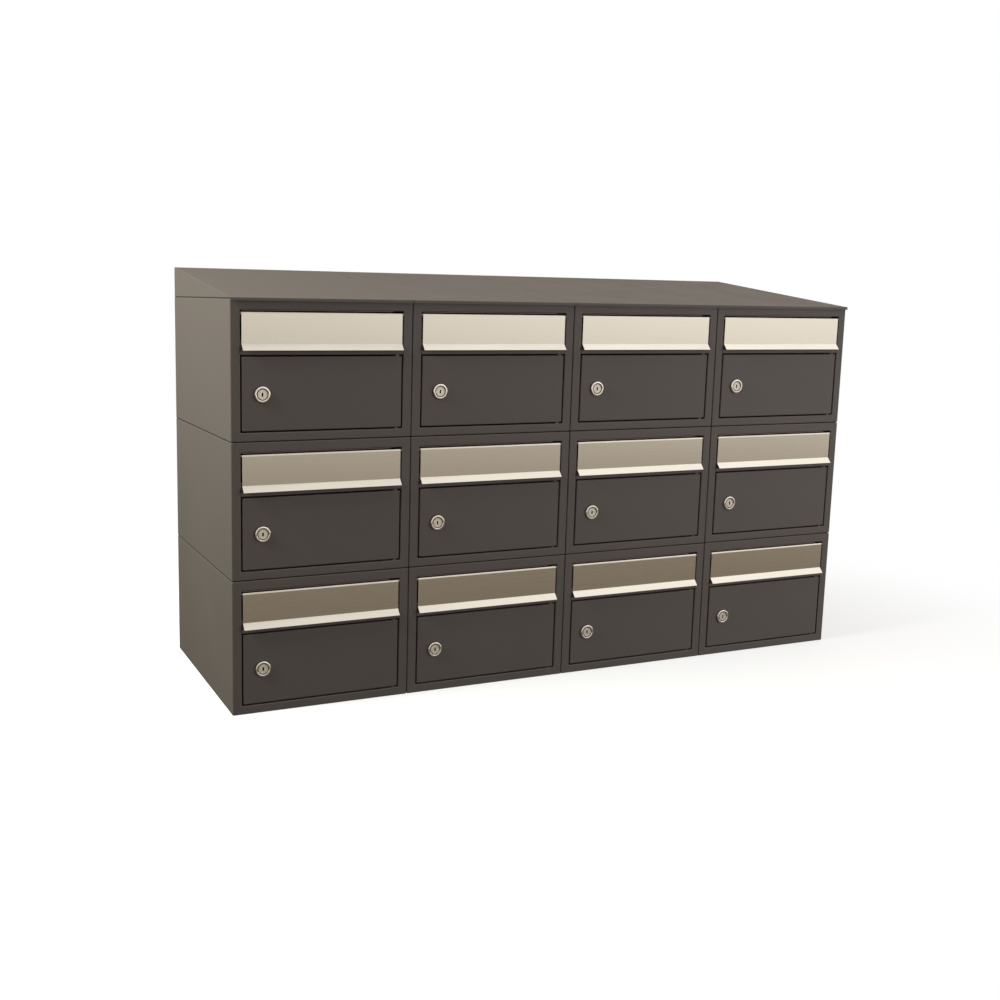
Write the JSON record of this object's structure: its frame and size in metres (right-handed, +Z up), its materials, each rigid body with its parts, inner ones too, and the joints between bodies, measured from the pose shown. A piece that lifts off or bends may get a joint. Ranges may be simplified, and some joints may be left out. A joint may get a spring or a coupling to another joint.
{
  "type": "cluster mailbox unit",
  "caption": "Cluster mailbox unit of stacked sheet-steel boxes, each with a steel letter flap over a key-locked side-hinged door, under sloping rain hoods.",
  "frame": {"origin": "centre of the bounding box at the underside of the bottom boxes", "axes": "+X to the right along the row of boxes, +Y from the doors to the back, +Z up"},
  "size_m": [1.1992, 0.393, 0.706],
  "materials": {
    "painted_steel": "fine textured powder coat",
    "stainless": "brushed along the length",
    "nickel": "satin nickel plate",
    "zinc": "zinc plate"
  },
  "bodies": {
    "root": {"casings_row_1": "painted_steel", "casings_row_2": "painted_steel", "casings_row_3": "painted_steel", "hood_1": "painted_steel", "hood_2": "painted_steel", "hood_3": "painted_steel", "hood_4": "painted_steel", "back_panels": "painted_steel", "crossbars": "painted_steel", "door_hinge_pins": "painted_steel", "flap_hinge_pins": "stainless", "assembly_bolts": "zinc"},
    "door_r1c1": {"door_r1c1": "painted_steel", "lock_body_r1c1": "nickel"},
    "door_r1c2": {"door_r1c2": "painted_steel", "lock_body_r1c2": "nickel"},
    "door_r1c3": {"door_r1c3": "painted_steel", "lock_body_r1c3": "nickel"},
    "door_r1c4": {"door_r1c4": "painted_steel", "lock_body_r1c4": "nickel"},
    "door_r2c1": {"door_r2c1": "painted_steel", "lock_body_r2c1": "nickel"},
    "door_r2c2": {"door_r2c2": "painted_steel", "lock_body_r2c2": "nickel"},
    "door_r2c3": {"door_r2c3": "painted_steel", "lock_body_r2c3": "nickel"},
    "door_r2c4": {"door_r2c4": "painted_steel", "lock_body_r2c4": "nickel"},
    "door_r3c1": {"door_r3c1": "painted_steel", "lock_body_r3c1": "nickel"},
    "door_r3c2": {"door_r3c2": "painted_steel", "lock_body_r3c2": "nickel"},
    "door_r3c3": {"door_r3c3": "painted_steel", "lock_body_r3c3": "nickel"},
    "door_r3c4": {"door_r3c4": "painted_steel", "lock_body_r3c4": "nickel"},
    "flap_r1c1": {"flap_r1c1": "stainless"},
    "flap_r1c2": {"flap_r1c2": "stainless"},
    "flap_r1c3": {"flap_r1c3": "stainless"},
    "flap_r1c4": {"flap_r1c4": "stainless"},
    "flap_r2c1": {"flap_r2c1": "stainless"},
    "flap_r2c2": {"flap_r2c2": "stainless"},
    "flap_r2c3": {"flap_r2c3": "stainless"},
    "flap_r2c4": {"flap_r2c4": "stainless"},
    "flap_r3c1": {"flap_r3c1": "stainless"},
    "flap_r3c2": {"flap_r3c2": "stainless"},
    "flap_r3c3": {"flap_r3c3": "stainless"},
    "flap_r3c4": {"flap_r3c4": "stainless"},
    "plug_r1c1": {"lock_plug_r1c1": "nickel"},
    "plug_r1c2": {"lock_plug_r1c2": "nickel"},
    "plug_r1c3": {"lock_plug_r1c3": "nickel"},
    "plug_r1c4": {"lock_plug_r1c4": "nickel"},
    "plug_r2c1": {"lock_plug_r2c1": "nickel"},
    "plug_r2c2": {"lock_plug_r2c2": "nickel"},
    "plug_r2c3": {"lock_plug_r2c3": "nickel"},
    "plug_r2c4": {"lock_plug_r2c4": "nickel"},
    "plug_r3c1": {"lock_plug_r3c1": "nickel"},
    "plug_r3c2": {"lock_plug_r3c2": "nickel"},
    "plug_r3c3": {"lock_plug_r3c3": "nickel"},
    "plug_r3c4": {"lock_plug_r3c4": "nickel"}
  },
  "joints": [
    {"name": "door_hinge_r1c1", "type": "hinge", "parent": "root", "child": "door_r1c1", "pos_m": [-0.3255, -0.1849, 0.5095], "axis": [0, 0, 1], "range_deg": [0, 110]},
    {"name": "door_hinge_r1c2", "type": "hinge", "parent": "root", "child": "door_r1c2", "pos_m": [-0.0255, -0.1849, 0.5095], "axis": [0, 0, 1], "range_deg": [0, 110]},
    {"name": "door_hinge_r1c3", "type": "hinge", "parent": "root", "child": "door_r1c3", "pos_m": [0.2745, -0.1849, 0.5095], "axis": [0, 0, 1], "range_deg": [0, 110]},
    {"name": "door_hinge_r1c4", "type": "hinge", "parent": "root", "child": "door_r1c4", "pos_m": [0.5745, -0.1849, 0.5095], "axis": [0, 0, 1], "range_deg": [0, 110]},
    {"name": "door_hinge_r2c1", "type": "hinge", "parent": "root", "child": "door_r2c1", "pos_m": [-0.3255, -0.1849, 0.2915], "axis": [0, 0, 1], "range_deg": [0, 110]},
    {"name": "door_hinge_r2c2", "type": "hinge", "parent": "root", "child": "door_r2c2", "pos_m": [-0.0255, -0.1849, 0.2915], "axis": [0, 0, 1], "range_deg": [0, 110]},
    {"name": "door_hinge_r2c3", "type": "hinge", "parent": "root", "child": "door_r2c3", "pos_m": [0.2745, -0.1849, 0.2915], "axis": [0, 0, 1], "range_deg": [0, 110]},
    {"name": "door_hinge_r2c4", "type": "hinge", "parent": "root", "child": "door_r2c4", "pos_m": [0.5745, -0.1849, 0.2915], "axis": [0, 0, 1], "range_deg": [0, 110]},
    {"name": "door_hinge_r3c1", "type": "hinge", "parent": "root", "child": "door_r3c1", "pos_m": [-0.3255, -0.1849, 0.0735], "axis": [0, 0, 1], "range_deg": [0, 110]},
    {"name": "door_hinge_r3c2", "type": "hinge", "parent": "root", "child": "door_r3c2", "pos_m": [-0.0255, -0.1849, 0.0735], "axis": [0, 0, 1], "range_deg": [0, 110]},
    {"name": "door_hinge_r3c3", "type": "hinge", "parent": "root", "child": "door_r3c3", "pos_m": [0.2745, -0.1849, 0.0735], "axis": [0, 0, 1], "range_deg": [0, 110]},
    {"name": "door_hinge_r3c4", "type": "hinge", "parent": "root", "child": "door_r3c4", "pos_m": [0.5745, -0.1849, 0.0735], "axis": [0, 0, 1], "range_deg": [0, 110]},
    {"name": "flap_hinge_r1c1", "type": "hinge", "parent": "root", "child": "flap_r1c1", "pos_m": [-0.45, -0.1853, 0.6313], "axis": [-1, 0, 0], "range_deg": [0, 80]},
    {"name": "flap_hinge_r1c2", "type": "hinge", "parent": "root", "child": "flap_r1c2", "pos_m": [-0.15, -0.1853, 0.6313], "axis": [-1, 0, 0], "range_deg": [0, 80]},
    {"name": "flap_hinge_r1c3", "type": "hinge", "parent": "root", "child": "flap_r1c3", "pos_m": [0.15, -0.1853, 0.6313], "axis": [-1, 0, 0], "range_deg": [0, 80]},
    {"name": "flap_hinge_r1c4", "type": "hinge", "parent": "root", "child": "flap_r1c4", "pos_m": [0.45, -0.1853, 0.6313], "axis": [-1, 0, 0], "range_deg": [0, 80]},
    {"name": "flap_hinge_r2c1", "type": "hinge", "parent": "root", "child": "flap_r2c1", "pos_m": [-0.45, -0.1853, 0.4133], "axis": [-1, 0, 0], "range_deg": [0, 80]},
    {"name": "flap_hinge_r2c2", "type": "hinge", "parent": "root", "child": "flap_r2c2", "pos_m": [-0.15, -0.1853, 0.4133], "axis": [-1, 0, 0], "range_deg": [0, 80]},
    {"name": "flap_hinge_r2c3", "type": "hinge", "parent": "root", "child": "flap_r2c3", "pos_m": [0.15, -0.1853, 0.4133], "axis": [-1, 0, 0], "range_deg": [0, 80]},
    {"name": "flap_hinge_r2c4", "type": "hinge", "parent": "root", "child": "flap_r2c4", "pos_m": [0.45, -0.1853, 0.4133], "axis": [-1, 0, 0], "range_deg": [0, 80]},
    {"name": "flap_hinge_r3c1", "type": "hinge", "parent": "root", "child": "flap_r3c1", "pos_m": [-0.45, -0.1853, 0.1953], "axis": [-1, 0, 0], "range_deg": [0, 80]},
    {"name": "flap_hinge_r3c2", "type": "hinge", "parent": "root", "child": "flap_r3c2", "pos_m": [-0.15, -0.1853, 0.1953], "axis": [-1, 0, 0], "range_deg": [0, 80]},
    {"name": "flap_hinge_r3c3", "type": "hinge", "parent": "root", "child": "flap_r3c3", "pos_m": [0.15, -0.1853, 0.1953], "axis": [-1, 0, 0], "range_deg": [0, 80]},
    {"name": "flap_hinge_r3c4", "type": "hinge", "parent": "root", "child": "flap_r3c4", "pos_m": [0.45, -0.1853, 0.1953], "axis": [-1, 0, 0], "range_deg": [0, 80]},
    {"name": "lock_turn_r1c1", "type": "hinge", "parent": "door_r1c1", "child": "plug_r1c1", "pos_m": [-0.55, -0.1885, 0.5085], "axis": [0, 1, 0], "range_deg": [0, 90]},
    {"name": "lock_turn_r1c2", "type": "hinge", "parent": "door_r1c2", "child": "plug_r1c2", "pos_m": [-0.25, -0.1885, 0.5085], "axis": [0, 1, 0], "range_deg": [0, 90]},
    {"name": "lock_turn_r1c3", "type": "hinge", "parent": "door_r1c3", "child": "plug_r1c3", "pos_m": [0.05, -0.1885, 0.5085], "axis": [0, 1, 0], "range_deg": [0, 90]},
    {"name": "lock_turn_r1c4", "type": "hinge", "parent": "door_r1c4", "child": "plug_r1c4", "pos_m": [0.35, -0.1885, 0.5085], "axis": [0, 1, 0], "range_deg": [0, 90]},
    {"name": "lock_turn_r2c1", "type": "hinge", "parent": "door_r2c1", "child": "plug_r2c1", "pos_m": [-0.55, -0.1885, 0.2905], "axis": [0, 1, 0], "range_deg": [0, 90]},
    {"name": "lock_turn_r2c2", "type": "hinge", "parent": "door_r2c2", "child": "plug_r2c2", "pos_m": [-0.25, -0.1885, 0.2905], "axis": [0, 1, 0], "range_deg": [0, 90]},
    {"name": "lock_turn_r2c3", "type": "hinge", "parent": "door_r2c3", "child": "plug_r2c3", "pos_m": [0.05, -0.1885, 0.2905], "axis": [0, 1, 0], "range_deg": [0, 90]},
    {"name": "lock_turn_r2c4", "type": "hinge", "parent": "door_r2c4", "child": "plug_r2c4", "pos_m": [0.35, -0.1885, 0.2905], "axis": [0, 1, 0], "range_deg": [0, 90]},
    {"name": "lock_turn_r3c1", "type": "hinge", "parent": "door_r3c1", "child": "plug_r3c1", "pos_m": [-0.55, -0.1885, 0.0725], "axis": [0, 1, 0], "range_deg": [0, 90]},
    {"name": "lock_turn_r3c2", "type": "hinge", "parent": "door_r3c2", "child": "plug_r3c2", "pos_m": [-0.25, -0.1885, 0.0725], "axis": [0, 1, 0], "range_deg": [0, 90]},
    {"name": "lock_turn_r3c3", "type": "hinge", "parent": "door_r3c3", "child": "plug_r3c3", "pos_m": [0.05, -0.1885, 0.0725], "axis": [0, 1, 0], "range_deg": [0, 90]},
    {"name": "lock_turn_r3c4", "type": "hinge", "parent": "door_r3c4", "child": "plug_r3c4", "pos_m": [0.35, -0.1885, 0.0725], "axis": [0, 1, 0], "range_deg": [0, 90]}
  ]
}
